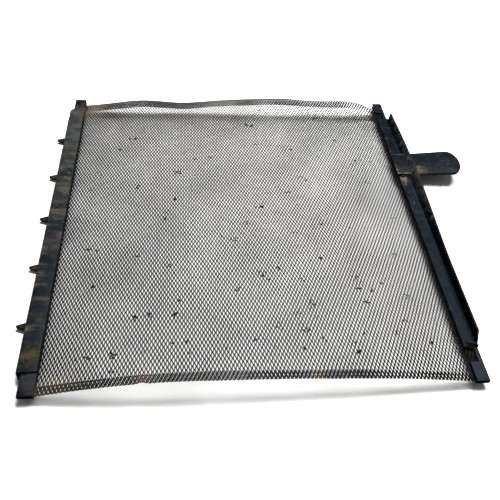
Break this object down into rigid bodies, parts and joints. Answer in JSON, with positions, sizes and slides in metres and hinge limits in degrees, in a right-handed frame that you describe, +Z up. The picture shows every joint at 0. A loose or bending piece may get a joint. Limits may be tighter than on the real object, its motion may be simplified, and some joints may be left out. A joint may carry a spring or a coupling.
{
  "type": "mesh screen panel",
  "caption": "Flat slide-in screen of fine black expanded metal mesh between two sheet-steel rails, with locating tongues on one rail and a raised flange and round-ended pull tab on the other.",
  "frame": {"origin": "centre of the footprint, on the surface the screen stands on", "axes": "+X from the locating tongues to the pull tab, +Y along the rails towards the end nearer the pull tab, +Z up, square to the mesh"},
  "size_m": [0.4196, 0.375, 0.0222],
  "materials": {
    "mesh_black": "worn black paint with dirt in the openings",
    "channel_black": "scuffed satin black paint",
    "left_rail_dusty": "black paint with dried brown dust and a little rust",
    "right_rail_navy": "satin blue-black paint with dust and scrapes",
    "tongue_dusty": "worn black paint under brown dust",
    "tab_black": "satin black paint with a tan dust patch"
  },
  "bodies": {
    "root": {"mesh_panel": "mesh_black", "left_edge_channel": "channel_black", "right_edge_channel": "channel_black", "left_angle_rail": "left_rail_dusty", "right_flange_rail": "right_rail_navy", "right_lower_rail": "right_rail_navy", "locating_tongue_1": "tongue_dusty", "locating_tongue_2": "tongue_dusty", "locating_tongue_3": "tongue_dusty", "locating_tongue_4": "tongue_dusty", "locating_tongue_5": "tongue_dusty", "pull_tab": "tab_black"}
  },
  "joints": []
}
